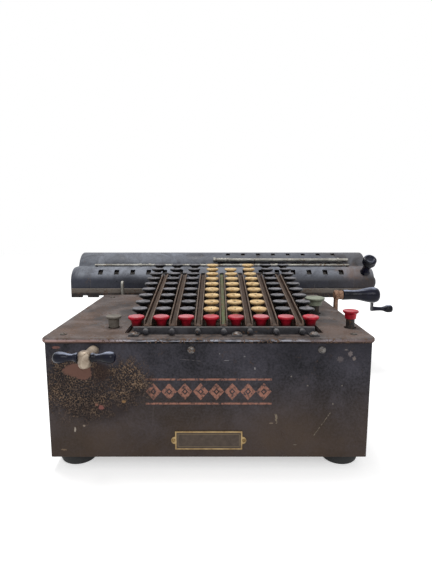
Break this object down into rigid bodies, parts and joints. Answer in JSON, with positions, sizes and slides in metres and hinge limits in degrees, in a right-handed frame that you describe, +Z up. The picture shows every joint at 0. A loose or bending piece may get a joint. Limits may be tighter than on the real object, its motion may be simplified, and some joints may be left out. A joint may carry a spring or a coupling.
{
  "type": "full-keyboard crank calculator",
  "caption": "Desk calculator with a full key field, a shifting dial carriage, a side crank, a small clearing crank and a T-handle that steps the carriage.",
  "frame": {"origin": "middle of the whole outline seen from above, on the table under the feet", "axes": "+X to the right along the carriage, +Y towards the back, +Z up"},
  "size_m": [0.3886, 0.31, 0.1458],
  "materials": {
    "casing_paint": "blue-black enamel, worn and rust-speckled",
    "cover_paint": "black enamel dulled grey-brown, rim worn to copper-brown",
    "carriage_paint": "dark grey enamel, satin, dusty",
    "rusted_steel": "bare steel with brown rust",
    "dark_steel": "darkened steel",
    "frame_iron": "grey iron",
    "nickel": "worn nickel plate",
    "brass": "dull, copper-coloured",
    "black_wood": "black lacquer, glossy",
    "key_black": "black, worn satin",
    "key_ivory": "yellowed ivory",
    "key_red": "red",
    "key_grey": "grey-green, dull",
    "rod_green": "pale grey-green on the flat",
    "rubber": "aged black rubber",
    "dial_white": "off-white enamel"
  },
  "bodies": {
    "casing": {"front_panel": "casing_paint", "casing_shell": "casing_paint", "base_plate": "dark_steel", "rubber_feet": "rubber", "top_cover": "cover_paint", "maker_plate": "brass", "casing_screws": "dark_steel", "key_plate": "dark_steel", "key_guide_plate": "dark_steel", "key_sections": "rusted_steel", "decimal_rod_supports": "casing_paint", "side_frames": "frame_iron", "frame_rods": "dark_steel"},
    "slide_rod": {"slide_rod": "dark_steel"},
    "carriage": {"carriage_cover": "carriage_paint", "carriage_ends": "carriage_paint", "carriage_knob": "black_wood", "shift_rail": "rusted_steel", "marker_rods": "nickel", "upper_dial_shaft": "dark_steel"},
    "lower_dials": {"lower_dials": "dial_white"},
    "upper_dials": {"upper_dials": "dial_white"},
    "lower_markers": {"lower_markers": "nickel"},
    "upper_markers": {"upper_markers": "nickel"},
    "clear_crank": {"clear_crank": "dark_steel"},
    "clear_grip": {"clear_grip": "black_wood"},
    "main_crank": {"main_crank": "brass"},
    "crank_grip": {"crank_grip": "black_wood"},
    "drum_shaft": {"drum_shaft": "dark_steel", "stepped_drums": "dark_steel"},
    "transfer_gears": {"transfer_gears": "dark_steel"},
    "shift_handle": {"shift_shaft": "nickel", "shift_handle": "black_wood"},
    "catch_lever": {"catch_lever": "nickel"},
    "mode_key": {"mode_key": "key_grey"},
    "repeat_key": {"repeat_key": "key_grey"},
    "keyboard_clear_key": {"keyboard_clear_key": "key_red"},
    "digit_keys_1": {"digit_keys_1": "key_black"},
    "column_clear_key_1": {"column_clear_key_1": "key_red"},
    "digit_keys_2": {"digit_keys_2": "key_black"},
    "column_clear_key_2": {"column_clear_key_2": "key_red"},
    "digit_keys_3": {"digit_keys_3": "key_black"},
    "column_clear_key_3": {"column_clear_key_3": "key_red"},
    "digit_keys_4": {"digit_keys_4": "key_ivory"},
    "column_clear_key_4": {"column_clear_key_4": "key_red"},
    "digit_keys_5": {"digit_keys_5": "key_ivory"},
    "column_clear_key_5": {"column_clear_key_5": "key_red"},
    "digit_keys_6": {"digit_keys_6": "key_ivory"},
    "column_clear_key_6": {"column_clear_key_6": "key_red"},
    "digit_keys_7": {"digit_keys_7": "key_black"},
    "column_clear_key_7": {"column_clear_key_7": "key_red"},
    "digit_keys_8": {"digit_keys_8": "key_black"},
    "column_clear_key_8": {"column_clear_key_8": "key_red"},
    "decimal_rod_1": {"decimal_rod_1": "rod_green"},
    "decimal_rod_2": {"decimal_rod_2": "rod_green"},
    "decimal_rod_3": {"decimal_rod_3": "rod_green"},
    "decimal_rod_4": {"decimal_rod_4": "rod_green"},
    "decimal_rod_5": {"decimal_rod_5": "rod_green"},
    "decimal_rod_6": {"decimal_rod_6": "rod_green"},
    "decimal_rod_7": {"decimal_rod_7": "rod_green"}
  },
  "joints": [
    {"name": "carriage_shift", "type": "slide", "parent": "casing", "child": "slide_rod", "axis": [1, 0, 0], "range_m": [-0.0762, 0.05715]},
    {"name": "carriage_lift", "type": "hinge", "parent": "slide_rod", "child": "carriage", "pos_m": [-0.0282, 0.14049, 0.104], "axis": [-1, 0, 0], "range_deg": [0, 12]},
    {"name": "clear_turn", "type": "hinge", "parent": "carriage", "child": "clear_crank", "pos_m": [0.1678, 0.09439, 0.1107], "axis": [1, 0, 0], "continuous": true},
    {"name": "clear_grip_spin", "type": "hinge", "parent": "clear_crank", "child": "clear_grip", "pos_m": [0.1678, 0.09439, 0.0773], "axis": [1, 0, 0], "continuous": true},
    {"name": "lower_dials_turn", "type": "hinge", "parent": "carriage", "child": "lower_dials", "pos_m": [-0.0282, 0.09439, 0.1107], "axis": [1, 0, 0], "continuous": true},
    {"name": "upper_dials_turn", "type": "hinge", "parent": "carriage", "child": "upper_dials", "pos_m": [-0.0282, 0.12879, 0.1256], "axis": [1, 0, 0], "continuous": true},
    {"name": "lower_markers_slide", "type": "slide", "parent": "carriage", "child": "lower_markers", "axis": [1, 0, 0], "range_m": [-0.05, 0.08]},
    {"name": "upper_markers_slide", "type": "slide", "parent": "carriage", "child": "upper_markers", "axis": [1, 0, 0], "range_m": [-0.002, 0.006]},
    {"name": "main_crank_turn", "type": "hinge", "parent": "casing", "child": "main_crank", "pos_m": [0.093, -0.01122, 0.06153], "axis": [1, 0, 0], "continuous": true},
    {"name": "crank_grip_spin", "type": "hinge", "parent": "main_crank", "child": "crank_grip", "pos_m": [0.093, -0.01122, 0.1129], "axis": [1, 0, 0], "continuous": true},
    {"name": "drums_turn", "type": "hinge", "parent": "casing", "child": "drum_shaft", "pos_m": [-0.0282, 0.04829, 0.05433], "axis": [1, 0, 0], "continuous": true},
    {"name": "transfer_gears_turn", "type": "hinge", "parent": "casing", "child": "transfer_gears", "pos_m": [-0.0282, 0.09439, 0.0732], "axis": [1, 0, 0], "continuous": true},
    {"name": "shift_handle_turn", "type": "hinge", "parent": "casing", "child": "shift_handle", "pos_m": [-0.1101, -0.12699, 0.093], "axis": [0, 1, 0], "range_deg": [-1442, 1082]},
    {"name": "catch_lever_swing", "type": "hinge", "parent": "casing", "child": "catch_lever", "pos_m": [-0.1252, 0.06249, 0.081], "axis": [1, 0, 0], "range_deg": [-6, 6]},
    {"name": "digit_keys_1_press", "type": "slide", "parent": "casing", "child": "digit_keys_1", "axis": [0, 0, 1], "range_m": [-0.0045, 0], "stiffness_N_per_m": 250, "springref_m": 0.004},
    {"name": "column_clear_key_1_press", "type": "slide", "parent": "casing", "child": "column_clear_key_1", "axis": [0, 0, 1], "range_m": [-0.0035, 0], "stiffness_N_per_m": 150, "springref_m": 0.004},
    {"name": "digit_keys_2_press", "type": "slide", "parent": "casing", "child": "digit_keys_2", "axis": [0, 0, 1], "range_m": [-0.0045, 0], "stiffness_N_per_m": 250, "springref_m": 0.004},
    {"name": "column_clear_key_2_press", "type": "slide", "parent": "casing", "child": "column_clear_key_2", "axis": [0, 0, 1], "range_m": [-0.0035, 0], "stiffness_N_per_m": 150, "springref_m": 0.004},
    {"name": "digit_keys_3_press", "type": "slide", "parent": "casing", "child": "digit_keys_3", "axis": [0, 0, 1], "range_m": [-0.0045, 0], "stiffness_N_per_m": 250, "springref_m": 0.004},
    {"name": "column_clear_key_3_press", "type": "slide", "parent": "casing", "child": "column_clear_key_3", "axis": [0, 0, 1], "range_m": [-0.0035, 0], "stiffness_N_per_m": 150, "springref_m": 0.004},
    {"name": "digit_keys_4_press", "type": "slide", "parent": "casing", "child": "digit_keys_4", "axis": [0, 0, 1], "range_m": [-0.0045, 0], "stiffness_N_per_m": 250, "springref_m": 0.004},
    {"name": "column_clear_key_4_press", "type": "slide", "parent": "casing", "child": "column_clear_key_4", "axis": [0, 0, 1], "range_m": [-0.0035, 0], "stiffness_N_per_m": 150, "springref_m": 0.004},
    {"name": "digit_keys_5_press", "type": "slide", "parent": "casing", "child": "digit_keys_5", "axis": [0, 0, 1], "range_m": [-0.0045, 0], "stiffness_N_per_m": 250, "springref_m": 0.004},
    {"name": "column_clear_key_5_press", "type": "slide", "parent": "casing", "child": "column_clear_key_5", "axis": [0, 0, 1], "range_m": [-0.0035, 0], "stiffness_N_per_m": 150, "springref_m": 0.004},
    {"name": "digit_keys_6_press", "type": "slide", "parent": "casing", "child": "digit_keys_6", "axis": [0, 0, 1], "range_m": [-0.0045, 0], "stiffness_N_per_m": 250, "springref_m": 0.004},
    {"name": "column_clear_key_6_press", "type": "slide", "parent": "casing", "child": "column_clear_key_6", "axis": [0, 0, 1], "range_m": [-0.0035, 0], "stiffness_N_per_m": 150, "springref_m": 0.004},
    {"name": "digit_keys_7_press", "type": "slide", "parent": "casing", "child": "digit_keys_7", "axis": [0, 0, 1], "range_m": [-0.0045, 0], "stiffness_N_per_m": 250, "springref_m": 0.004},
    {"name": "column_clear_key_7_press", "type": "slide", "parent": "casing", "child": "column_clear_key_7", "axis": [0, 0, 1], "range_m": [-0.0035, 0], "stiffness_N_per_m": 150, "springref_m": 0.004},
    {"name": "digit_keys_8_press", "type": "slide", "parent": "casing", "child": "digit_keys_8", "axis": [0, 0, 1], "range_m": [-0.0045, 0], "stiffness_N_per_m": 250, "springref_m": 0.004},
    {"name": "column_clear_key_8_press", "type": "slide", "parent": "casing", "child": "column_clear_key_8", "axis": [0, 0, 1], "range_m": [-0.0035, 0], "stiffness_N_per_m": 150, "springref_m": 0.004},
    {"name": "mode_key_press", "type": "slide", "parent": "casing", "child": "mode_key", "axis": [0, 0, 1], "range_m": [-0.0035, 0], "stiffness_N_per_m": 150, "springref_m": 0.004},
    {"name": "repeat_key_press", "type": "slide", "parent": "casing", "child": "repeat_key", "axis": [0, 0, 1], "range_m": [-0.0035, 0], "stiffness_N_per_m": 150, "springref_m": 0.004},
    {"name": "keyboard_clear_key_press", "type": "slide", "parent": "casing", "child": "keyboard_clear_key", "axis": [0, 0, 1], "range_m": [-0.0035, 0], "stiffness_N_per_m": 150, "springref_m": 0.004},
    {"name": "decimal_rod_1_turn", "type": "hinge", "parent": "casing", "child": "decimal_rod_1", "pos_m": [-0.07415, -0.11649, 0.1053], "axis": [0, 0.9853, 0.1707], "range_deg": [0, 180]},
    {"name": "decimal_rod_2_turn", "type": "hinge", "parent": "casing", "child": "decimal_rod_2", "pos_m": [-0.0551, -0.11649, 0.1053], "axis": [0, 0.9853, 0.1707], "range_deg": [0, 180]},
    {"name": "decimal_rod_3_turn", "type": "hinge", "parent": "casing", "child": "decimal_rod_3", "pos_m": [-0.03605, -0.11649, 0.1053], "axis": [0, 0.9853, 0.1707], "range_deg": [0, 180]},
    {"name": "decimal_rod_4_turn", "type": "hinge", "parent": "casing", "child": "decimal_rod_4", "pos_m": [-0.017, -0.11649, 0.1053], "axis": [0, 0.9853, 0.1707], "range_deg": [0, 180]},
    {"name": "decimal_rod_5_turn", "type": "hinge", "parent": "casing", "child": "decimal_rod_5", "pos_m": [0.00205, -0.11649, 0.1053], "axis": [0, 0.9853, 0.1707], "range_deg": [0, 180]},
    {"name": "decimal_rod_6_turn", "type": "hinge", "parent": "casing", "child": "decimal_rod_6", "pos_m": [0.0211, -0.11649, 0.1053], "axis": [0, 0.9853, 0.1707], "range_deg": [0, 180]},
    {"name": "decimal_rod_7_turn", "type": "hinge", "parent": "casing", "child": "decimal_rod_7", "pos_m": [0.04015, -0.11649, 0.1053], "axis": [0, 0.9853, 0.1707], "range_deg": [0, 180]}
  ],
  "couplings": [
    {"joint": "lower_dials_turn", "follows": "clear_turn", "ratio": 1},
    {"joint": "transfer_gears_turn", "follows": "clear_turn", "ratio": -0.66667},
    {"joint": "drums_turn", "follows": "main_crank_turn", "ratio": -1},
    {"joint": "shift_handle_turn", "follows": "carriage_shift", "rad_per_m": 329.83}
  ]
}
